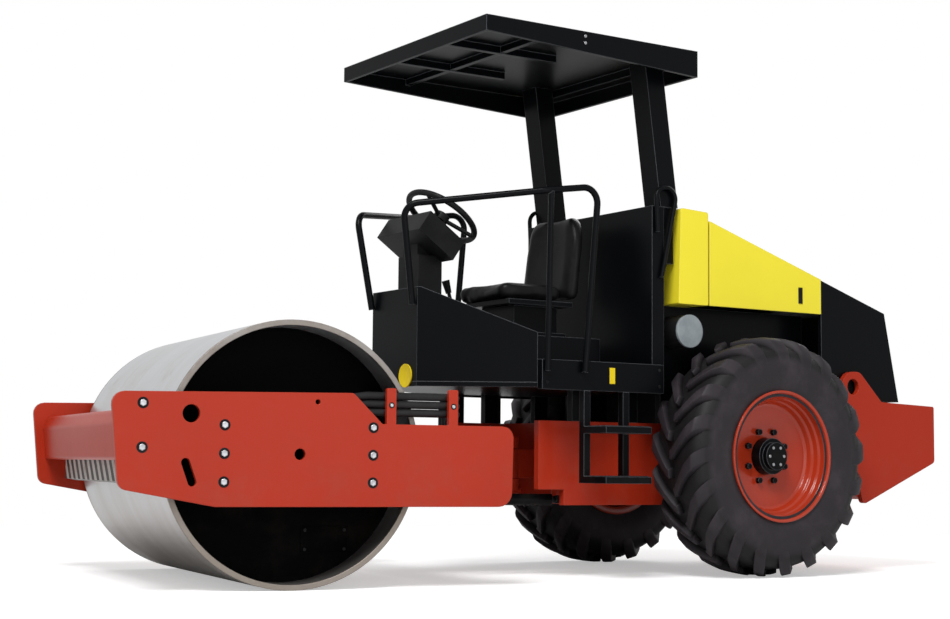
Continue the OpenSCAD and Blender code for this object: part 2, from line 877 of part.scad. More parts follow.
module canopy_posts()
    color(black) both_sides() {
        intersection() {
            translate([post_x, post_y, wall_top]) rotate([0, post_lean, 0])
                translate([-post_d / 2, -post_w / 2, -post_over])
                    cube([post_d, post_w, roof_rise / cos(post_lean) + 2 * post_over]);
            block([roof_rear, 0, wall_top + seam], [roof_front, roof_y, roof_under]);
        }
        block(
            [wall_back - post_foot, post_y - post_foot_w / 2, wall_top - post_foot_h],
            [wall_back, post_y + post_foot_w / 2, wall_top + 20]
        );
    }

rib_t = 30;
rib_x = post_top_x + 412;
rear_rib = roof_setback - post_d / 2 - 25;
cross_rib_x = roof_front - 423;

module canopy()
    color(black) {
        difference() {
            plate_xz(roof_y, roof_w)
                polygon([
                    [roof_front, roof_top - roof_rim_front], [roof_front, roof_top], [roof_rear, roof_top],
                    [roof_rear, roof_top - roof_rim_rear]
                ]);
            plate_xz(roof_y - roof_t, roof_w - 2 * roof_t)
                polygon([
                    [roof_front - roof_t, roof_top - roof_rim_front - 80], [roof_front - roof_t, roof_under],
                    [roof_rear + roof_t, roof_under], [roof_rear + roof_t, roof_top - roof_rim_rear - 80]
                ]);
        }
        block(
            [roof_rear + 5, -roof_y + 5, roof_top - 60],
            [roof_rear + rear_rib, roof_y - 5, roof_under + 1]
        );
        for (y = [-240, 240])
            block([rib_x, y - rib_t / 2, roof_top - 55], [roof_front - 5, y + rib_t / 2, roof_under + 1]);
        block([cross_rib_x, -roof_y + 5, roof_top - 50], [cross_rib_x + rib_t, roof_y - 5, roof_under + 1]);
    }

// Steering cylinders, from a lug on the rear frame to the underside of the rear beam

ram_front = [620, 200];
barrel_r = 30;
barrel_len = 560;
barrel_start = ram_lug_r + 8;
neck_r = 18;
ram_rod_r = 16;
rod_len = 430;

function turned(p, a) = [p[0] * cos(a) - p[1] * sin(a), p[0] * sin(a) + p[1] * cos(a)];
function ram_reach(side) = turned([ram_front[0], side * ram_front[1]], rest_steer) - [ram_x, side * ram_y];

// Places children at the rear pin, with X along the cylinder
module at_ram(side)
    translate([ram_x, side * ram_y, ram_z])
        rotate([0, 0, atan2(ram_reach(side)[1], ram_reach(side)[0])]) children();

module bar_x(r, x0, x1) translate([x0, 0, 0]) rotate([0, 90, 0]) cylinder(r = r, h = x1 - x0);

module cylinder_barrel(side)
    color(black) at_ram(side) difference() {
        union() {
            translate([0, 0, -20]) cylinder(r = ram_eye_r, h = 40);
            bar_x(neck_r, 15, barrel_start + 1);
            bar_x(barrel_r, barrel_start, barrel_len);
        }
        translate([0, 0, -21]) cylinder(r = ram_pin_r + pin_play, h = 42);
        bar_x(ram_rod_r + 6, 60, barrel_len - 30);
        bar_x(ram_rod_r + pin_play, barrel_len - 31, barrel_len + 1);
    }

module cylinder_rod(side)
    color(steel) at_ram(side) translate([norm(ram_reach(side)), 0, 0]) {
        translate([0, 0, -18]) difference() {
            cylinder(r = 30, h = 36);
            translate([0, 0, -1]) cylinder(r = ram_pin_r, h = 38);
        }
        bar_x(ram_rod_r, -rod_len, -25);
    }

drum_shell();
drum_heads();
drum_carriers();
rubber_mounts();
side_plates();
front_beam();
scraper_bar();
rear_beam();
hitch_yoke();
drum_hoses();
rear_frame();
rear_axle();
counterweight();
engine_block();
bay_walls();
radiator();
tank_cover();
hood();
rear_housing();
air_filter();
tyre(1);  // tyre_left
rim(1);  // rim_left
hub(1);  // hub_left
tyre(-1);  // tyre_right
rim(-1);  // rim_right
hub(-1);  // hub_right
deck();
nose_panels();
rear_wall();
seat_base();
seat_cushion();
seat_back();
console();
steering_wheel();
drive_lever();
handrails();
grab_handles();
steps();
canopy_posts();
canopy();
cylinder_barrel(1);  // cylinder_left
cylinder_barrel(-1);  // cylinder_right
cylinder_rod(1);  // rod_left
cylinder_rod(-1);  // rod_right
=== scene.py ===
import json
import math

import bpy
from mathutils import Matrix, Vector


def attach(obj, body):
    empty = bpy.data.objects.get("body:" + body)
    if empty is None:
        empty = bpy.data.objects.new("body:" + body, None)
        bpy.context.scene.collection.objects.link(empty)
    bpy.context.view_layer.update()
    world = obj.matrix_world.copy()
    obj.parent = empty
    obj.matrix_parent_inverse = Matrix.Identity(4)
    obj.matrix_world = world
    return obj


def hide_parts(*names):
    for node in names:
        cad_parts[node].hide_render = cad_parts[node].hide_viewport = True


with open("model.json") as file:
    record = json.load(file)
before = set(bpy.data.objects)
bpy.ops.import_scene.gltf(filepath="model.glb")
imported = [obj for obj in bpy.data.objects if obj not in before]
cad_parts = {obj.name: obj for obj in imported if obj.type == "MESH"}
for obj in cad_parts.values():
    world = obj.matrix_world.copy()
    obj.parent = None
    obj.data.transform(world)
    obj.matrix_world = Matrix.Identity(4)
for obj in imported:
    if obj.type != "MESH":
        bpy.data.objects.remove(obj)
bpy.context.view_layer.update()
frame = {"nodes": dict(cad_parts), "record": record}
nodes = frame["nodes"]
print("frame loaded:", len(nodes), "nodes")

# shared places: the steering angle at rest, the drum's axis ahead of the hitch, the left wheel's middle
steerAngle = math.radians(-9)
hitchToDrum = 1.42
wheelMiddle = (-1.21, 0.696, 0.6325)


# the view: a fitted camera, in metres, radians and pixels of the 950 by 619 frame
view = {
    "place": (5.1547, 7.4964, 0.5771), "yaw": -2.1362, "pitch": 0.0837, "roll": 0.0109,
    "focal": 1714.8, "middle": (436.0, 319.3), "frame": (950, 619),
    "sensor": 36, "far": 100,
}


def addCamera():
    level = math.cos(view["pitch"])
    look = Vector((math.cos(view["yaw"]) * level, math.sin(view["yaw"]) * level, math.sin(view["pitch"])))
    right = look.cross(Vector((0, 0, 1))).normalized()
    up = right.cross(look)
    c, s = math.cos(view["roll"]), math.sin(view["roll"])
    sideways, upwards = c * right + s * up, c * up - s * right
    turn = Matrix((sideways, upwards, -look)).transposed()
    bpy.ops.object.camera_add(location=view["place"], rotation=turn.to_euler())
    camera = bpy.context.active_object
    wide, high = view["frame"]
    camera.data.sensor_width = view["sensor"]
    camera.data.lens = view["focal"] * view["sensor"] / wide
    camera.data.shift_x = (wide / 2 - view["middle"][0]) / wide
    camera.data.shift_y = (view["middle"][1] - high / 2) / wide
    camera.data.clip_end = view["far"]
    bpy.context.scene.camera = camera


addCamera()
print("camera set")


# shader maths: a wire is a socket that can be added, multiplied and so on

class Wire:
    def __init__(self, tree, socket=None):
        self.tree = tree
        self.socket = socket

    def node(self, kind, settings=None, inputs=None, out=0):
        made = self.tree.nodes.new(kind)
        for key, value in (settings or {}).items():
            if key == "stops":
                for i, (spot, colour) in enumerate(value):
                    stop = made.color_ramp.elements[i] if i < 2 else made.color_ramp.elements.new(spot)
                    stop.position = spot
                    stop.color = (*colour, 1)
            else:
                setattr(made, key, value)
        for key, value in (inputs or {}).items():
            if isinstance(value, Wire):
                self.tree.links.new(value.socket, made.inputs[key])
            else:
                made.inputs[key].default_value = value
        return Wire(self.tree, made.outputs[out])

    def calc(self, operation, a, b=0.0, clamp=False):
        return self.node("ShaderNodeMath", {"operation": operation, "use_clamp": clamp}, {0: a, 1: b})

    def __add__(self, other):
        return self.calc("ADD", self, other)

    def __sub__(self, other):
        return self.calc("SUBTRACT", self, other)

    def __mul__(self, other):
        return self.calc("MULTIPLY", self, other)

    def __truediv__(self, other):
        return self.calc("DIVIDE", self, other)

    def __rsub__(self, other):
        return self.calc("SUBTRACT", other, self)

    def __rtruediv__(self, other):
        return self.calc("DIVIDE", other, self)

    __radd__ = __add__
    __rmul__ = __mul__

    def clamp(self):
        return self.calc("ADD", self, 0.0, True)

    def size(self):
        return self.calc("ABSOLUTE", self)

    # 0 at low, 1 at high, smooth between
    def rise(self, low, high):
        return self.node("ShaderNodeMapRange", {"interpolation_type": "SMOOTHSTEP"},
                         {"Value": self, "From Min": low, "From Max": high})

    def noise(self, where, scale, detail=3.0, rough=0.55):
        return self.node("ShaderNodeTexNoise", {},
                         {"Vector": where, "Scale": scale, "Detail": detail, "Roughness": rough})

    def stretch(self, where, by):
        return self.node("ShaderNodeVectorMath", {"operation": "MULTIPLY"}, {0: where, 1: by})

    def mix(self, share, a, b):
        as4 = lambda v: v if isinstance(v, Wire) else (*v, 1)
        return self.node("ShaderNodeMix", {"data_type": "RGBA"}, {0: share, 6: as4(a), 7: as4(b)}, 2)


def newFinish(name):
    material = bpy.data.materials.new(name)
    material.use_nodes = True
    tree = material.node_tree
    tree.nodes.clear()
    out = tree.nodes.new("ShaderNodeOutputMaterial")
    shader = tree.nodes.new("ShaderNodeBsdfPrincipled")
    tree.links.new(shader.outputs[0], out.inputs[0])
    wire = Wire(tree)
    return material, shader, wire, wire.node("ShaderNodeTexCoord", out="Object")


def feed(shader, wire, sockets):
    for key, value in sockets.items():
        if isinstance(value, Wire):
            wire.tree.links.new(value.socket, shader.inputs[key])
        else:
            shader.inputs[key].default_value = value


# normals rounded over the hard edges, and a mask of those edges
def softEdges(wire, radius, reach=5.0):
    bevel = wire.node("ShaderNodeBevel", {"samples": 6}, {"Radius": radius})
    flat = wire.node("ShaderNodeNewGeometry", out="Normal")
    facing = wire.node("ShaderNodeVectorMath", {"operation": "DOT_PRODUCT"}, {0: bevel, 1: flat}, "Value")
    return bevel, ((1 - facing) * reach).clamp()


def bumped(wire, height, strength, distance, normal=None):
    inputs = {"Height": height, "Strength": strength, "Distance": distance}
    if normal:
        inputs["Normal"] = normal
    return wire.node("ShaderNodeBump", {}, inputs)


# sprayed paint: slight orange peel, a faint change of tone, scuffs, dust low down, and paler edges that are
# partly rubbed wear and partly a painted highlight
paints = {
    "red_paint": {"colour": (0.385, 0.026, 0.0090), "edgeWearAndHighlight": (0.55, 0.10, 0.05), "rough": 0.27,
                  "coat": 0.08, "shine": 0.13, "dust": 0.04, "edgeWearAndHighlightShare": 0.35},
    "rim_red": {"colour": (0.370, 0.030, 0.0095), "edgeWearAndHighlight": (0.62, 0.13, 0.05), "rough": 0.16,
                "coat": 0.30, "shine": 0.25, "dust": 0.03, "edgeWearAndHighlightShare": 0.45},
    "yellow_paint": {"colour": (0.86, 0.735, 0.030), "edgeWearAndHighlight": (0.92, 0.84, 0.25), "rough": 0.30,
                     "coat": 0.25, "shine": 0.35, "dust": 0.02, "edgeWearAndHighlightShare": 0.35},
    # the black paint's pale edge colour and large share paint highlight lines along its edges
    "black_paint": {"colour": (0.0020, 0.0024, 0.0032), "edgeWearAndHighlight": (0.13, 0.137, 0.150), "rough": 0.26,
                    "coat": 0.0, "shine": 0.085, "dust": 0.02, "edgeWearAndHighlightShare": 0.85},
    # a darker, duller copy of the black paint for the parts inside the drum: painted shade
    "inner_black": {"colour": (0.0011, 0.0011, 0.0013), "edgeWearAndHighlight": (0.02, 0.02, 0.022), "rough": 0.50,
                    "coat": 0.0, "shine": 0.02, "dust": 0.01, "edgeWearAndHighlightShare": 0.60},
}
dustColour = (0.16, 0.125, 0.09)


def paintFinish(name):
    look = paints[name]
    material, shader, wire, where = newFinish(name)
    bevel, edge = softEdges(wire, 0.006, 4.0)
    tone = wire.noise(where, 1.7, 4.0)
    peel = wire.noise(where, 240.0, 2.0)
    scuff = wire.noise(wire.stretch(where, (1.0, 1.0, 3.0)), 26.0, 6.0, 0.7).rise(0.60, 0.78)
    low = wire.node("ShaderNodeSeparateXYZ", {}, {0: where}, 2)
    dust = wire.noise(where, 7.0, 5.0, 0.65).rise(0.42, 0.75) * (1 - low.rise(0.25, 0.95)) * look["dust"] * 3
    shade = wire.mix(tone.rise(0.3, 0.7) * 0.16, look["colour"], tuple(c * 0.72 for c in look["colour"]))
    # edges turn towards the pale edge colour: partly wear, partly a painted highlight
    shade = wire.mix((edge * (look["edgeWearAndHighlightShare"] + scuff * 0.4)).clamp(), shade, look["edgeWearAndHighlight"])
    shade = wire.mix((dust + scuff * look["dust"] * 0.35).clamp(), shade, dustColour)
    feed(shader, wire, {
        "Base Color": shade,
        "Roughness": look["rough"] + tone * 0.08 + scuff * 0.10 + dust * 0.5,
        "Coat Weight": look["coat"], "Coat Roughness": 0.12, "Specular IOR Level": look["shine"],
        "Normal": bumped(wire, peel, 0.06, 0.0006, bevel),
    })
    return material


# rolled drum steel: fine rings round the drum, longer bands, brown at the rims, and painted shade low down: a
# brownish darkening towards the bottom for the dark ground reflected there
drumLook = {"bright": (0.74, 0.76, 0.79), "dull": (0.60, 0.585, 0.56),
            "rim": (0.16, 0.125, 0.095), "rimFrom": 0.815, "rimTo": 0.832,
            "paintedLowShade": (0.27, 0.235, 0.20), "paintedLowShadeTop": 0.66, "paintedLowShadeFull": 0.10}


def drumFinish():
    material, shader, wire, where = newFinish("drum_steel")
    across = wire.node("ShaderNodeMapping", {}, {"Vector": where, "Rotation": (0, 0, -steerAngle)})
    along = wire.node("ShaderNodeSeparateXYZ", {}, {0: across}, 1)
    rings = wire.noise(wire.stretch(across, (0.8, 260.0, 0.8)), 1.0, 4.0, 0.6)
    bands = wire.noise(wire.stretch(across, (0.5, 5.0, 0.5)), 1.0, 3.0)
    patches = wire.noise(across, 4.5, 6.0, 0.62)
    rim = along.size().rise(drumLook["rimFrom"], drumLook["rimTo"])
    bevel = softEdges(wire, 0.006)[0]
    shade = wire.mix((bands.rise(0.3, 0.7) * 0.4 + patches.rise(0.5, 0.8) * 0.4).clamp(),
                     drumLook["bright"], drumLook["dull"])
    shade = wire.mix((rim * (0.55 + patches * 0.5)).clamp(), shade, drumLook["rim"])
    shade = wire.mix(patches.rise(0.62, 0.76) * 0.12, shade, dustColour)
    # painted shade: the steel darkens to brown towards the bottom, standing in for the reflected dark ground
    height = wire.node("ShaderNodeSeparateXYZ", {}, {0: where}, 2)
    paintedLowShade = 1 - height.rise(drumLook["paintedLowShadeFull"], drumLook["paintedLowShadeTop"])
    shade = wire.mix(paintedLowShade * (0.50 + bands * 0.5), shade, drumLook["paintedLowShade"])
    feed(shader, wire, {
        "Base Color": shade, "Metallic": 0.88,
        "Roughness": 0.27 + rings * 0.06 + patches * 0.06 + rim * 0.20,
        "Normal": bumped(wire, rings + patches * 0.3, 0.04, 0.0010, bevel),
    })
    return material


# rubber for tyres, mounts and hoses
rubbers = {
    "tyre": {"colour": (0.0185, 0.0150, 0.0185), "dusty": (0.044, 0.037, 0.043), "rough": 0.46,
             "grain": 90.0, "bump": 0.30, "axle": wheelMiddle},
    "rubber": {"colour": (0.012, 0.012, 0.013), "dusty": (0.04, 0.037, 0.034), "rough": 0.55,
               "grain": 160.0, "bump": 0.15},
    "hose_rubber": {"colour": (0.007, 0.007, 0.008), "dusty": (0.022, 0.021, 0.020), "rough": 0.40,
                    "grain": 260.0, "bump": 0.12},
}


# painted shade between the lugs: the tyre's ground under the lug tops, which fall off towards the shoulder,
# is darkened as if shadowed
grooveShade = {"top": 0.614, "fall": 60, "blend": (-0.014, 0.010), "foot": (0.480, 0.515), "side": (0.179, 0.187),
          "share": 0.8, "colour": (0.003, 0.003, 0.003)}


def paintedGrooveShade(wire, where, axle):
    x, y, z = [wire.node("ShaderNodeSeparateXYZ", {}, {0: where}, i) for i in range(3)]
    ahead, above = x - axle[0], z - axle[2]
    reach = wire.calc("SQRT", ahead * ahead + above * above)
    aside = (y.size() - axle[1]).size()
    square = aside * aside
    under = 1 - (reach + square * square * grooveShade["fall"] - grooveShade["top"]).rise(*grooveShade["blend"])
    return under * reach.rise(*grooveShade["foot"]) * (1 - aside.rise(*grooveShade["side"]))


def rubberFinish(name):
    look = rubbers[name]
    material, shader, wire, where = newFinish(name)
    patches = wire.noise(where, 6.0, 6.0, 0.65)
    grain = wire.noise(where, look["grain"], 4.0, 0.6)
    shade = wire.mix(patches.rise(0.42, 0.78) * 0.75, look["colour"], look["dusty"])
    if "axle" in look:
        # painted shade darkens the grooves between the lugs
        shade = wire.mix(paintedGrooveShade(wire, where, look["axle"]) * grooveShade["share"], shade, grooveShade["colour"])
    feed(shader, wire, {
        "Base Color": shade,
        "Roughness": look["rough"] + patches * 0.18,
        "Specular IOR Level": 0.24,
        "Normal": bumped(wire, grain + patches * 0.5, look["bump"], 0.0012),
    })
    return material


# moulded plastics, vinyl, iron, rod steel, bolts and marks
plainLooks = {
    "black_plastic": {"colour": (0.0065, 0.0067, 0.0072), "other": (0.015, 0.015, 0.016), "rough": 0.40,
                      "metal": 0.0, "grain": 520.0, "bump": 0.14},
    "seat_vinyl": {"colour": (0.0065, 0.0065, 0.0070), "other": (0.013, 0.0125, 0.0125), "rough": 0.30,
                   "metal": 0.0, "grain": 330.0, "bump": 0.16},
    "engine_iron": {"colour": (0.016, 0.017, 0.018), "other": (0.035, 0.032, 0.030), "rough": 0.60,
                    "metal": 0.2, "grain": 120.0, "bump": 0.30},
    "chrome_rod": {"colour": (0.72, 0.72, 0.73), "other": (0.55, 0.55, 0.56), "rough": 0.10,
                   "metal": 1.0, "grain": 400.0, "bump": 0.02},
    "zinc_bolt": {"colour": (0.46, 0.47, 0.49), "other": (0.30, 0.30, 0.31), "rough": 0.24,
                  "metal": 0.95, "grain": 300.0, "bump": 0.10},
    "black_bolt": {"colour": (0.007, 0.007, 0.008), "other": (0.03, 0.03, 0.03), "rough": 0.35,
                   "metal": 0.3, "grain": 300.0, "bump": 0.10},
    "mark_yellow": {"colour": (0.78, 0.58, 0.015), "other": (0.64, 0.47, 0.014), "rough": 0.40,
                    "metal": 0.0, "grain": 500.0, "bump": 0.04},
    "gauge_face": {"colour": (0.22, 0.23, 0.24), "other": (0.17, 0.18, 0.19), "rough": 0.25,
                   "metal": 0.0, "grain": 500.0, "bump": 0.03},
}


def plainFinish(name):
    look = plainLooks[name]
    material, shader, wire, where = newFinish(name)
    bevel, edge = softEdges(wire, 0.003)
    patches = wire.noise(where, 9.0, 5.0, 0.6)
    grain = wire.node("ShaderNodeTexVoronoi", {"feature": "SMOOTH_F1"},
                      {"Vector": where, "Scale": look["grain"]})
    shade = wire.mix((patches.rise(0.4, 0.75) * 0.7 + edge * 0.3).clamp(), look["colour"], look["other"])
    feed(shader, wire, {
        "Base Color": shade, "Metallic": look["metal"],
        "Roughness": look["rough"] + patches * 0.10, "Specular IOR Level": 0.11,
        "Normal": bumped(wire, grain, look["bump"], 0.0008, bevel),
    })
    return material


# the air filter: a grey cap on a black body
filterLook = {"capFrom": 0.546, "blend": 0.001, "cap": (0.27, 0.305, 0.32), "capDark": (0.20, 0.23, 0.25),
              "body": (0.008, 0.008, 0.009)}


def filterFinish():
    material, shader, wire, where = newFinish("grey_plastic")
    outward = wire.node("ShaderNodeSeparateXYZ", {}, {0: where}, 1)
    patches = wire.noise(where, 14.0, 5.0, 0.6)
    edge, blend = filterLook["capFrom"], filterLook["blend"]
    cap = outward.rise(edge - blend, edge + blend)
    grey = wire.mix(patches.rise(0.35, 0.75), filterLook["cap"], filterLook["capDark"])
    feed(shader, wire, {
        "Base Color": wire.mix(cap, filterLook["body"], grey), "Roughness": 0.38 + patches * 0.15,
        "Normal": bumped(wire, patches, 0.05, 0.001, softEdges(wire, 0.006)[0]),
    })
    return material


# the scraper's guard stripes: slanted dark and pale bars
stripeLook = {"pitch": 0.11, "slant": 0.9, "pale": (0.50, 0.49, 0.46), "dark": (0.015, 0.015, 0.016)}


def stripeFinish():
    material, shader, wire, where = newFinish("scraper_stripes")
    across = wire.node("ShaderNodeMapping", {}, {"Vector": where, "Rotation": (0, 0, -steerAngle)})
    y = wire.node("ShaderNodeSeparateXYZ", {}, {0: across}, 1)
    z = wire.node("ShaderNodeSeparateXYZ", {}, {0: across}, 2)
    wave = wire.calc("FRACT", (y + z * stripeLook["slant"]) / stripeLook["pitch"])
    bars = (wave - 0.5).size().rise(0.24, 0.26)
    grime = wire.noise(where, 14.0, 5.0, 0.65)
    shade = wire.mix(bars, stripeLook["dark"], stripeLook["pale"])
    shade = wire.mix(grime.rise(0.45, 0.8) * 0.6, shade, dustColour)
    feed(shader, wire, {"Base Color": shade, "Roughness": 0.42 + grime * 0.2,
                        "Normal": bumped(wire, grime, 0.10, 0.001, softEdges(wire, 0.004)[0])})
    return material


finishes = {name: paintFinish(name) for name in paints}
finishes.update({name: rubberFinish(name) for name in rubbers})
finishes.update({name: plainFinish(name) for name in plainLooks})
finishes["drum_steel"] = drumFinish()
finishes["grey_plastic"] = filterFinish()
finishes["scraper_stripes"] = stripeFinish()

for entry in frame["record"]["subparts"]:
    shown = nodes[entry["node"]]
    shown.data.materials.clear()
    shown.data.materials.append(finishes[entry["material_slot"]])
nodes["scraper_bar"].data.materials[0] = finishes["scraper_stripes"]
# the drum's heads and carriers take the darker inner black: painted shade inside the drum
for inside in ("drum_heads", "drum_carriers"):
    nodes[inside].data.materials[0] = finishes["inner_black"]
print("finishes made:", len(finishes))


# modelling helpers

def freshStart():
    if bpy.context.object and bpy.context.object.mode != "OBJECT":
        bpy.ops.object.mode_set(mode="OBJECT")
    bpy.ops.object.select_all(action="DESELECT")


def pickFaces(piece, wanted):
    bpy.ops.object.mode_set(mode="EDIT")
    bpy.ops.mesh.select_mode(type="FACE")
    bpy.ops.mesh.select_all(action="DESELECT")
    bpy.ops.object.mode_set(mode="OBJECT")
    for face in piece.data.polygons:
        face.select = wanted(face)
    bpy.ops.object.mode_set(mode="EDIT")


def applyAll(piece):
    bpy.context.view_layer.objects.active = piece
    for modifier in list(piece.modifiers):
        bpy.ops.object.modifier_apply(modifier=modifier.name)


def softenBy(piece, width, segments=2, angle=35):
    bevel = piece.modifiers.new("edges", "BEVEL")
    bevel.width = width
    bevel.segments = segments
    bevel.limit_method = "ANGLE"
    bevel.angle_limit = math.radians(angle)
    applyAll(piece)


# names a finished piece, settles it at the origin and hands it to its body
def hand(piece, name, body, finish, standsFor=()):
    freshStart()
    piece.select_set(True)
    bpy.context.view_layer.objects.active = piece
    bpy.ops.object.transform_apply(location=True, rotation=True, scale=True)
    bpy.ops.object.shade_smooth_by_angle(angle=math.radians(40))
    piece.name = name
    piece.data.materials.clear()
    piece.data.materials.append(finishes[finish])
    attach(piece, body)
    if standsFor:
        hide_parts(*standsFor)
    return piece


def joined(pieces):
    freshStart()
    for piece in pieces:
        piece.select_set(True)
    bpy.context.view_layer.objects.active = pieces[0]
    if len(pieces) > 1:
        bpy.ops.object.join()
    return bpy.context.active_object


def copyTo(template, matrix):
    copy = template.copy()
    copy.data = template.data.copy()
    bpy.context.collection.objects.link(copy)
    copy.matrix_world = matrix
    return copy


# one joined piece from a template, at places that each have a direction for the template's +Z
def spread(template, spots):
    copies = []
    for place, way in spots:
        turn = Vector(way).to_track_quat("Z", "Y").to_matrix().to_4x4()
        copies.append(copyTo(template, Matrix.Translation(place) @ turn))
    return joined(copies)


steerTurn = Matrix.Rotation(steerAngle, 4, "Z")


# a point of the front half, with x from the drum's axis
def onFront(x, y, z):
    return steerTurn @ Vector((x + hitchToDrum, y, z))


# a direction of the front half
def frontWay(x, y, z):
    return steerTurn @ Vector((x, y, z))


def washer(radius, thick):
    freshStart()
    bpy.ops.mesh.primitive_cylinder_add(vertices=24, radius=radius, depth=thick, location=(0, 0, thick / 2))
    piece = bpy.context.active_object
    softenBy(piece, thick * 0.25, 1)
    return piece


# a six-sided head with a raised and dished top, standing on its washer
def bolt(head, high, foot):
    freshStart()
    bpy.ops.mesh.primitive_cylinder_add(vertices=6, radius=head, depth=high, location=(0, 0, foot + high / 2))
    piece = bpy.context.active_object
    pickFaces(piece, lambda face: face.normal.z > 0.9)
    bpy.ops.mesh.inset(thickness=head * 0.16)
    bpy.ops.transform.translate(value=(0, 0, high * 0.12))
    bpy.ops.mesh.inset(thickness=head * 0.25)
    bpy.ops.transform.translate(value=(0, 0, -high * 0.10))
    bpy.ops.object.mode_set(mode="OBJECT")
    softenBy(piece, head * 0.06, 1)
    return piece


# insets the wanted faces and moves what lies inside the new border
def insetFaces(piece, wanted, border, shift):
    pickFaces(piece, wanted)
    bpy.ops.mesh.inset(thickness=border)
    bpy.ops.transform.translate(value=shift)
    bpy.ops.object.mode_set(mode="OBJECT")


def block(low, high):
    freshStart()
    middle = [(a + b) / 2 for a, b in zip(low, high)]
    bpy.ops.mesh.primitive_cube_add(size=1, location=middle)
    piece = bpy.context.active_object
    piece.scale = [b - a for a, b in zip(low, high)]
    bpy.ops.object.transform_apply(location=True, rotation=True, scale=True)
    return piece


# rounds the corners of a route
def bent(route, radius, count=8):
    points = [Vector(route[0])]
    for before, corner, after in zip(route, route[1:], route[2:]):
        p = Vector(corner)
        u, v = (Vector(before) - p).normalized(), (Vector(after) - p).normalized()
        half = u.angle(v) / 2
        start, end = p + u * radius / math.tan(half), p + v * radius / math.tan(half)
        centre = p + (u + v).normalized() * radius / math.sin(half)
        a, b = start - centre, end - centre
        sweep = a.angle(b)
        for i in range(count + 1):
            f = i / count
            swung = a * math.sin((1 - f) * sweep) + b * math.sin(f * sweep)
            points.append(centre + swung / math.sin(sweep))
    points.append(Vector(route[-1]))
    return points


# a round tube along a route, closed at its ends
def pipe(route, radius):
    freshStart()
    curve = bpy.data.curves.new("route", "CURVE")
    curve.dimensions = "3D"
    curve.bevel_depth = radius
    curve.bevel_resolution = 5
    curve.use_fill_caps = True
    line = curve.splines.new("POLY")
    line.points.add(len(route) - 1)
    for point, place in zip(line.points, route):
        point.co = (*place, 1)
    piece = bpy.data.objects.new("route", curve)
    bpy.context.collection.objects.link(piece)
    piece.select_set(True)
    bpy.context.view_layer.objects.active = piece
    bpy.ops.object.convert(target="MESH")
    return bpy.context.active_object


def mirrorY(route):
    return [Vector((p[0], -p[1], p[2])) for p in route]


# moves a piece of a wheel to the left (1) or right (-1) wheel's middle
def toWheel(piece, side):
    x, y, z = wheelMiddle
    piece.location = (x, side * y, z)


# tyres: a spun carcass with slanted lugs that run from the middle over the shoulder
tyre = {
    "lugs": 20, "lean": math.radians(19), "topHalf": 0.024, "footHalf": 0.032, "spread": 0.75,
    "sunk": 0.006, "sunkAside": 0.004, "edge": 0.005, "steps": 14, "turns": 120,
}

# the carcass from the crown's middle to the bead: offset, radius
tyreWall = [
    (0.0, 0.5965), (0.050, 0.5955), (0.105, 0.590), (0.145, 0.578), (0.169, 0.556), (0.181, 0.525),
    (0.187, 0.490), (0.188, 0.455), (0.184, 0.420), (0.176, 0.385), (0.169, 0.358), (0.1645, 0.345),
    (0.1645, 0.313),
]

# a lug from the middle (0) to its foot on the side wall (1): share, offset, foot radius, top radius, lean
lugRows = [
    (0.00, 0.006, 0.5965, 0.6320, 0.00), (0.12, 0.020, 0.5965, 0.6325, 0.02),
    (0.45, 0.1058, 0.5905, 0.6285, 0.55), (0.70, 0.1588, 0.5725, 0.6155, 0.80),
    (0.86, 0.1814, 0.5345, 0.5605, 0.95), (1.00, 0.1875, 0.4780, 0.4790, 1.00),
]


# spins an outline of (offset, radius) points once round the axle
def turned(outline, closed):
    freshStart()
    last = len(outline) if closed else len(outline) - 1
    mesh = bpy.data.meshes.new("turned")
    mesh.from_pydata([(r, y, 0) for y, r in outline], [(i, (i + 1) % len(outline)) for i in range(last)], [])
    piece = bpy.data.objects.new("turned", mesh)
    bpy.context.collection.objects.link(piece)
    piece.select_set(True)
    bpy.context.view_layer.objects.active = piece
    bpy.ops.object.mode_set(mode="EDIT")
    bpy.ops.mesh.select_all(action="SELECT")
    bpy.ops.mesh.spin(steps=tyre["turns"], angle=math.tau, center=(0, 0, 0), axis=(0, 1, 0))
    bpy.ops.mesh.select_all(action="SELECT")
    bpy.ops.mesh.remove_doubles(threshold=0.0004)
    bpy.ops.mesh.normals_make_consistent(inside=False)
    bpy.ops.object.mode_set(mode="OBJECT")
    return piece


def tyreCarcass():
    return turned([(-y, r) for y, r in reversed(tyreWall)] + tyreWall[1:], False)


def lugRow(t):
    for a, b in zip(lugRows, lugRows[1:]):
        if t <= b[0]:
            share = (t - a[0]) / (b[0] - a[0])
            return [p + (q - p) * share for p, q in zip(a[1:], b[1:])]
    return lugRows[-1][1:]


# a bar of blocks along X, laid onto the tyre row by row
def tyreLug():
    freshStart()
    bpy.ops.mesh.primitive_cube_add(size=1)
    piece = bpy.context.active_object
    pickFaces(piece, lambda face: face.normal.x > 0.9)
    for i in range(tyre["steps"]):
        bpy.ops.mesh.extrude_region_move(TRANSFORM_OT_translate={"value": (1, 0, 0)})
    bpy.ops.object.mode_set(mode="OBJECT")
    for v in piece.data.vertices:
        t = (v.co.x + 0.5) / (tyre["steps"] + 1)
        offset, foot, top, lean = lugRow(t)
        raised = v.co.z > 0
        half = (tyre["topHalf"] if raised else tyre["footHalf"]) * (1 + tyre["spread"] * lean)
        angle = tyre["lean"] * lean + math.copysign(half / wheelMiddle[2], v.co.y)
        radius = top if raised else foot - tyre["sunk"]
        sideways = offset if raised else offset - tyre["sunkAside"]
        v.co = (radius * math.cos(angle), sideways, radius * math.sin(angle))
    softenBy(piece, tyre["edge"], 2, 30)
    return piece


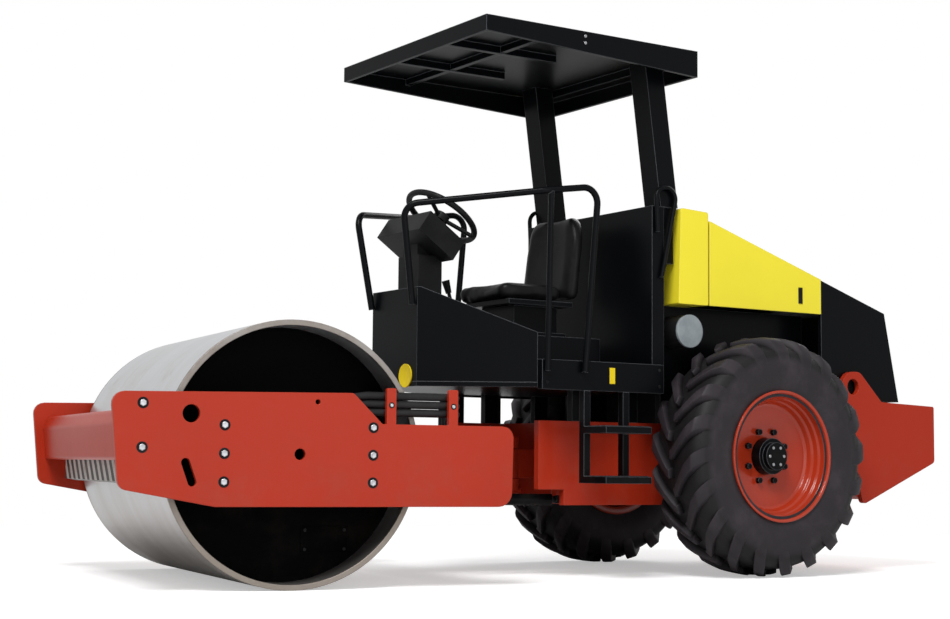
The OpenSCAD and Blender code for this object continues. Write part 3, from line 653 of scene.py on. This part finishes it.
# the lugs of the outer half stand at the start of each pitch, those of the inner half between them
def makeTyre(side, name, body, node):
    lug = tyreLug()
    pieces = [tyreCarcass()]
    pitch = math.tau / tyre["lugs"]
    for i in range(tyre["lugs"]):
        for half, shift in ((side, 0.0), (-side, 0.5)):
            turn = Matrix.Rotation(-(i + shift) * pitch, 4, "Y")
            pieces.append(copyTo(lug, turn @ Matrix.Scale(half, 4, (0, 1, 0))))
    for piece in pieces[1:]:
        freshStart()
        piece.select_set(True)
        bpy.context.view_layer.objects.active = piece
        bpy.ops.object.transform_apply(location=True, rotation=True, scale=True)
    bpy.data.objects.remove(lug)
    whole = joined(pieces)
    bpy.ops.object.mode_set(mode="EDIT")
    bpy.ops.mesh.select_all(action="SELECT")
    bpy.ops.mesh.normals_make_consistent(inside=False)
    bpy.ops.object.mode_set(mode="OBJECT")
    toWheel(whole, side)
    hand(whole, name, body, "tyre", [node])


makeTyre(1, "lugged_tyre_left", "wheel_left", "tyre_left")
makeTyre(-1, "lugged_tyre_right", "wheel_right", "tyre_right")
print("tyres made")


# rims: a narrow outer flange and a dish that steps down to the disc, then the back of the well
rimEdge = {"width": 0.0022, "segments": 2, "angle": 18}
rimDish = [
    (0.1790, 0.3450), (0.1790, 0.3360), (0.1740, 0.3300), (0.1610, 0.3270), (0.1540, 0.3190),
    (0.1290, 0.3140), (0.1210, 0.3050), (0.0960, 0.2990), (0.0880, 0.2890), (0.0640, 0.2790),
    (0.0560, 0.2650), (0.0520, 0.2150), (0.0400, 0.1750), (0.0400, 0.0960), (0.0240, 0.0960),
    (0.0240, 0.1650), (0.0320, 0.2050), (0.0000, 0.2560), (-0.0550, 0.2700), (-0.0800, 0.2960),
    (-0.1790, 0.3000), (-0.1790, 0.3450), (-0.1653, 0.3450), (-0.1653, 0.3117), (-0.0950, 0.3117),
    (-0.0620, 0.2840), (0.0400, 0.2890), (0.1050, 0.3160), (0.1653, 0.3300), (0.1653, 0.3450),
]


def makeRim(side, name, body, node):
    piece = turned([(side * y, r) for y, r in rimDish], True)
    softenBy(piece, **rimEdge)
    toWheel(piece, side)
    hand(piece, name, body, "rim_red", [node])


makeRim(1, "rim_dish_left", "wheel_left", "rim_left")
makeRim(-1, "rim_dish_right", "wheel_right", "rim_right")
print("rims made")


# handrails, grab handles and hoses: smooth tubes on the solids' own routes
rails = {
    "route": [(0.6673, 0.200, 1.370), (0.748, 0.232, 1.866), (0.140, 0.6173, 1.945), (-0.185, 0.6173, 1.994),
              (-0.102, 0.6173, 1.040)],
    "post": [(0.130, 0.6153, 1.040), (0.113, 0.6173, 1.942)], "bend": 0.075, "radius": 0.017,
    "postRadius": 0.015,
}


def makeHandrails():
    rail = bent(rails["route"], rails["bend"])
    parts = []
    for sided in (list, mirrorY):
        parts += [pipe(sided(rail), rails["radius"]), pipe(sided(rails["post"]), rails["postRadius"])]
    hand(joined(parts), "handrail_tubes", "tractor", "black_paint", ["handrails"])


grabs = {
    "route": [(-0.612, 0.5713, 1.800), (-0.600, 0.5713, 2.040), (-0.748, 0.5713, 2.040),
              (-0.640, 0.5713, 1.560)],
    "bend": 0.060, "radius": 0.012,
}


def makeGrabs():
    loop = bent(grabs["route"], grabs["bend"])
    parts = [pipe(loop, grabs["radius"]), pipe(mirrorY(loop), grabs["radius"])]
    hand(joined(parts), "grab_tubes", "tractor", "black_paint", ["grab_handles"])


# hoses one above the other along the left plate, each turning in and down to the rear beam by itself
hoses = {
    "count": 3, "y": 0.8811, "low": 0.806, "pitch": 0.038, "radius": 0.0187, "end": 0.741,
    "front": -0.150, "level": -0.330, "turn": -0.790, "frontDrop": 0.025, "turnDrop": 0.012,
    "inward": 0.110, "bend": 0.030, "bendMore": 0.004,
}


def makeHoses():
    parts = []
    for i in range(hoses["count"]):
        y, z = hoses["y"], hoses["low"] + i * hoses["pitch"]
        inner = y - hoses["inward"] - i * hoses["pitch"]
        route = [(hoses["front"], y, z - hoses["frontDrop"]), (hoses["level"], y, z), (hoses["turn"], y, z),
                 (hoses["turn"], inner, z - hoses["turnDrop"]), (hoses["turn"], inner, hoses["end"])]
        corners = bent(route, hoses["bend"] + i * hoses["bendMore"])
        parts.append(pipe([onFront(*p) for p in corners], hoses["radius"]))
    hand(joined(parts), "hose_bundle", "front", "hose_rubber", ["drum_hoses"])


makeHandrails()
makeGrabs()
makeHoses()
print("tubes made")


# bolts: bright heads on dark rings on the side plates, small ones on clips, canopy and skirts
bolts = {
    "big": {"head": (0.016, 0.010, 0.003), "ring": (0.025, 0.003)},
    "small": {"head": (0.009, 0.006, 0.002), "ring": (0.014, 0.002)},
    "plate": [(x, z) for x in (-0.35, 0.35) for z in (0.485, 0.610, 0.735)]
             + [(0.717, 0.824), (0.717, 0.632)],
    "clips": [(-0.438, 0.839), (-0.748, 0.839)], "plateFace": 0.925,
    "canopy": [(-0.03, 2.70), (-0.03, 2.735)], "canopyFace": 0.705,
    "skirt": [(x, z) for x in (0.12, -0.60) for z in (0.985, 1.07)], "skirtFace": 0.600,
}
hubBolts = {"count": 6, "ring": 0.050, "y": 0.826}


def onBothPlates(places):
    return [(onFront(x, s * bolts["plateFace"], z), frontWay(0, s, 0)) for x, z in places for s in (1, -1)]


def onBothSides(places, face):
    return [((x, s * face, z), (0, s, 0)) for x, z in places for s in (1, -1)]


# a ring of places on the left (1) or right (-1) hub
def onHub(side):
    turns = [math.tau * i / hubBolts["count"] for i in range(hubBolts["count"])]
    return [((wheelMiddle[0] + hubBolts["ring"] * math.cos(a), side * hubBolts["y"],
              wheelMiddle[2] + hubBolts["ring"] * math.sin(a)), (0, side, 0)) for a in turns]


def makeBolts():
    big, bigRing = bolt(*bolts["big"]["head"]), washer(*bolts["big"]["ring"])
    small, smallRing = bolt(*bolts["small"]["head"]), washer(*bolts["small"]["ring"])
    spots = onBothPlates(bolts["plate"])
    hand(spread(big, spots), "plate_bolts", "front", "zinc_bolt")
    hand(spread(bigRing, spots), "plate_rings", "front", "black_bolt")
    spots = onBothPlates(bolts["clips"])
    hand(spread(small, spots), "clip_bolts", "front", "zinc_bolt")
    hand(spread(smallRing, spots), "clip_rings", "front", "black_bolt")
    spots = onBothSides(bolts["canopy"], bolts["canopyFace"])
    hand(spread(small, spots), "canopy_bolts", "tractor", "zinc_bolt")
    spots = onBothSides(bolts["skirt"], bolts["skirtFace"])
    hand(spread(small, spots), "skirt_bolts", "tractor", "black_bolt")
    makeHatches(small)
    for side, body in ((1, "wheel_left"), (-1, "wheel_right")):
        hand(spread(small, onHub(side)), body + "_bolts", body, "zinc_bolt")
    for template in (big, bigRing, small, smallRing):
        bpy.data.objects.remove(template)


# a bolted plate on each drum head
hatch = {"x": (-0.33, -0.10), "y": 0.658, "z": (0.157, 0.281), "thick": 0.006, "inset": 0.018, "edge": 0.002}


def makeHatches(small):
    plates, spots = [], []
    (back, front), (bottom, top), inset = hatch["x"], hatch["z"], hatch["inset"]
    for s in (1, -1):
        face = s * (hatch["y"] + hatch["thick"])
        near, far = sorted((s * hatch["y"], face))
        plate = block((back, near, bottom), (front, far, top))
        softenBy(plate, hatch["edge"])
        plate.matrix_world = steerTurn @ Matrix.Translation((hitchToDrum, 0, 0))
        plates.append(plate)
        for x in (back + inset, front - inset):
            for z in (bottom + inset, top - inset):
                spots.append((onFront(x, face, z), frontWay(0, s, 0)))
    # the head plates also take the darker inner black, painted shade inside the drum
    hand(joined(plates), "head_plates", "drum", "inner_black")
    hand(spread(small, spots), "head_bolts", "drum", "black_bolt")


makeBolts()
print("bolts made")


# seat: a dished cushion and back, each narrower at one end and swollen by a cloth run
stuffing = {"voxel": 0.008, "pressure": 1.6, "tension": 20, "bending": 4, "steps": 15, "smoothing": 14}
cushions = {
    "seat_pad": {"node": "seat_cushion", "low": (-0.240, -0.238, 1.442), "high": (0.130, 0.238, 1.522),
                 "round": 0.034, "lift": 0.012, "lean": 0, "dish": (0, 0, -0.022),
                 "along": 0, "narrow": 0.14},
    "back_pad": {"node": "seat_back", "low": (-0.362, -0.228, 1.452), "high": (-0.282, 0.228, 1.908),
                 "round": 0.036, "lift": 0.012, "lean": -0.125, "dish": (-0.024, 0, 0),
                 "along": 2, "narrow": 0.30},
}


# hollows the side that faces the sitter and narrows the far end
def hollowOut(piece, look):
    hollow, along = Vector(look["dish"]), look["along"]
    start, end = look["low"][along], look["high"][along]
    for v in piece.data.vertices:
        aside = min(1.0, abs(v.co.y) / look["high"][1])
        v.co += hollow * max(0.0, -hollow.normalized().dot(v.normal)) * (1 - aside * aside)
        past = max(0.0, (v.co[along] - start) / (end - start) - 0.5) * 2
        v.co.y *= 1 - look["narrow"] * past ** 3


# swells a cushion by a short cloth run, nowhere by more than its lift
def swell(piece, lift):
    rest = [v.co.copy() for v in piece.data.vertices]
    cloth = piece.modifiers.new("stuffing", "CLOTH")
    cloth.settings.use_pressure = True
    cloth.settings.uniform_pressure_force = stuffing["pressure"]
    cloth.settings.effector_weights.gravity = 0
    cloth.settings.tension_stiffness = stuffing["tension"]
    cloth.settings.bending_stiffness = stuffing["bending"]
    scene = bpy.context.scene
    for step in range(1, stuffing["steps"] + 1):
        scene.frame_set(step)
    bpy.ops.object.modifier_apply(modifier=cloth.name)
    scene.frame_set(1)
    for v, was in zip(piece.data.vertices, rest):
        shift = v.co - was
        if shift.length > lift:
            v.co = was + shift.normalized() * lift


def makeCushion(name):
    look = cushions[name]
    piece = block(look["low"], look["high"])
    softenBy(piece, look["round"], 4, 30)
    if look["lean"]:
        foot = look["low"][2]
        for v in piece.data.vertices:
            v.co.x += look["lean"] * (v.co.z - foot)
    freshStart()
    piece.select_set(True)
    bpy.context.view_layer.objects.active = piece
    remesh = piece.modifiers.new("even", "REMESH")
    remesh.mode = "VOXEL"
    remesh.voxel_size = stuffing["voxel"]
    applyAll(piece)
    hollowOut(piece, look)
    swell(piece, look["lift"])
    smooth = piece.modifiers.new("smooth", "SMOOTH")
    smooth.factor = 0.5
    smooth.iterations = stuffing["smoothing"]
    applyAll(piece)
    hand(piece, name, "tractor", "seat_vinyl", [look["node"]])


for name in cushions:
    makeCushion(name)
print("cushions made")


# small trim: a thin plate on the left (1) or right (-1) side
def sidePlate(look, side):
    near, far = sorted((side * look["y"], side * (look["y"] + look["thick"])))
    return block((look["x"] - look["wide"] / 2, near, look["z"] - look["high"] / 2),
                 (look["x"] + look["wide"] / 2, far, look["z"] + look["high"] / 2))


# a latch with a sunk middle on each side of the hood
latch = {"x": -1.622, "y": 0.585, "z": 1.525, "wide": 0.030, "high": 0.090, "thick": 0.004,
         "border": 0.006, "sunk": 0.002, "edge": 0.0012}


def makeLatches():
    parts = []
    for s in (1, -1):
        plate = sidePlate(latch, s)
        insetFaces(plate, lambda face: face.normal.y * s > 0.9, latch["border"], (0, -s * latch["sunk"], 0))
        softenBy(plate, latch["edge"])
        parts.append(plate)
    hand(joined(parts), "hood_latches", "hood_lid", "black_plastic")


# the skirt's colour mark on each side and the disc on the nose
mark = {"x": -0.290, "y": 0.600, "z": 1.030, "wide": 0.036, "high": 0.082, "thick": 0.0012, "edge": 0.0005}
disc = {"place": (0.650, 0.120, 1.015), "radius": 0.060, "thick": 0.008, "border": 0.008, "sunk": 0.003,
        "edge": 0.001}


def makeMarks():
    parts = []
    for s in (1, -1):
        plate = sidePlate(mark, s)
        softenBy(plate, mark["edge"], 1)
        parts.append(plate)
    freshStart()
    x, y, z = disc["place"]
    bpy.ops.mesh.primitive_cylinder_add(vertices=40, radius=disc["radius"], depth=disc["thick"],
                                        rotation=(0, math.pi / 2, 0), location=(x + disc["thick"] / 2, y, z))
    plate = bpy.context.active_object
    bpy.ops.object.transform_apply(location=True, rotation=True, scale=True)
    insetFaces(plate, lambda face: face.normal.x > 0.9, disc["border"], (-disc["sunk"], 0, 0))
    softenBy(plate, disc["edge"])
    parts.append(plate)
    hand(joined(parts), "colour_marks", "tractor", "mark_yellow")


# dials with a sunk face and switches with a raised tip, on the console's sloping top
dash = {
    "place": (0.500, 0, 1.730), "tilt": math.radians(-35), "top": 0.060, "gap": 0.0002, "edge": 0.001,
    "dash_dials": {"sides": 36, "radius": 0.032, "deep": 0.012, "border": 0.005, "shift": -0.004,
                   "finish": "gauge_face", "places": [(0.055, -0.11), (0.055, 0.11), (-0.02, 0.13)]},
    "dash_switches": {"sides": 16, "radius": 0.009, "deep": 0.016, "border": 0.003, "shift": 0.010,
                      "finish": "black_plastic", "places": [(-0.085, y) for y in (-0.15, -0.10, 0.10, 0.15)]},
}


def makeDash():
    slope = Matrix.Translation(dash["place"]) @ Matrix.Rotation(dash["tilt"], 4, "Y")
    for name in ("dash_dials", "dash_switches"):
        look = dash[name]
        freshStart()
        bpy.ops.mesh.primitive_cylinder_add(vertices=look["sides"], radius=look["radius"], depth=look["deep"])
        template = bpy.context.active_object
        insetFaces(template, lambda face: face.normal.z > 0.9, look["border"], (0, 0, look["shift"]))
        softenBy(template, dash["edge"])
        height = dash["top"] + dash["gap"] + look["deep"] / 2
        copies = [copyTo(template, slope @ Matrix.Translation((x, y, height))) for x, y in look["places"]]
        hand(joined(copies), name, "tractor", look["finish"])
        bpy.data.objects.remove(template)


# grip bars on the treads of the steps
grip = {"x": (-0.395, -0.115), "y": (0.615, 0.775), "tops": (0.520, 0.770), "bars": 5, "half": 0.007,
        "high": 0.004, "edge": 0.0015}


def makeGrips():
    parts = []
    (back, front), (inner, outer) = grip["x"], grip["y"]
    for top in grip["tops"]:
        for s in (1, -1):
            for i in range(grip["bars"]):
                y = s * (inner + (outer - inner) * (i + 0.5) / grip["bars"])
                bar = block((back, y - grip["half"], top), (front, y + grip["half"], top + grip["high"]))
                softenBy(bar, grip["edge"], 1)
                parts.append(bar)
    hand(joined(parts), "step_grips", "tractor", "black_paint")


makeLatches()
makeMarks()
makeDash()
makeGrips()
print("trim made")


# stage: a pale floor, a white surround for the camera and soft lamps, each with its power, size and place
stage = {
    "floor": (0.86, 0.86, 0.86), "mottled": (0.82, 0.82, 0.82), "wide": 60, "glow": 0.42,
    "near": 3.4, "far": 7.0, "world": 0.32, "mirror": 0.66, "aim": (0, 0, 0.8),
    "lamps": {"key": (1850, 5.2, (7.4, 6.7, 12.0)), "fill": (150, 6.0, (0.5, 9.0, 3.0)),
              "back": (200, 4.0, (-6.0, -2.5, 6.0))},
}


def addFloor():
    freshStart()
    bpy.ops.mesh.primitive_plane_add(size=stage["wide"], location=(0, 0, 0))
    floor = bpy.context.active_object
    floor.name = "pale_floor"
    material, shader, wire, where = newFinish("pale_floor")
    mottle = wire.noise(where, 3.0, 3.0)
    away = wire.node("ShaderNodeVectorMath", {"operation": "LENGTH"}, {0: where}, "Value")
    fade = away.rise(stage["near"], stage["far"])
    seen = wire.node("ShaderNodeLightPath", out="Is Camera Ray")
    dim = wire.mix(mottle * 0.05, stage["floor"], stage["mottled"])
    glow = seen * (stage["glow"] + fade * (1 - stage["glow"]))
    feed(shader, wire, {
        "Base Color": wire.mix(fade * seen, dim, (0, 0, 0)), "Roughness": 0.9, "Specular IOR Level": 0.0,
        "Emission Color": wire.mix(glow, (0, 0, 0), (1, 1, 1)), "Emission Strength": 1.0,
    })
    floor.data.materials.append(material)


# white to the camera, softer to the surfaces
def addWorld():
    world = bpy.data.worlds.new("studio")
    bpy.context.scene.world = world
    world.use_nodes = True
    tree = world.node_tree
    tree.nodes.clear()
    wire = Wire(tree)
    seen, mirrored, through = [wire.node("ShaderNodeLightPath", out=f"Is {kind} Ray")
                               for kind in ("Camera", "Glossy", "Transmission")]
    strength = stage["world"] + (seen + through).clamp() * (1 - stage["world"])
    strength = strength + mirrored * (stage["mirror"] - stage["world"])
    light = wire.node("ShaderNodeBackground", {}, {"Color": (1, 1, 1, 1), "Strength": strength})
    tree.links.new(light.socket, tree.nodes.new("ShaderNodeOutputWorld").inputs[0])


def addLamps():
    for power, size, place in stage["lamps"].values():
        bpy.ops.object.light_add(type="AREA", location=place)
        lamp = bpy.context.active_object
        lamp.data.energy = power
        lamp.data.size = size
        lamp.rotation_euler = (Vector(stage["aim"]) - Vector(place)).to_track_quat("-Z", "Y").to_euler()


addFloor()
addWorld()
addLamps()
bpy.context.scene.view_settings.view_transform = "Standard"
print("stage set")
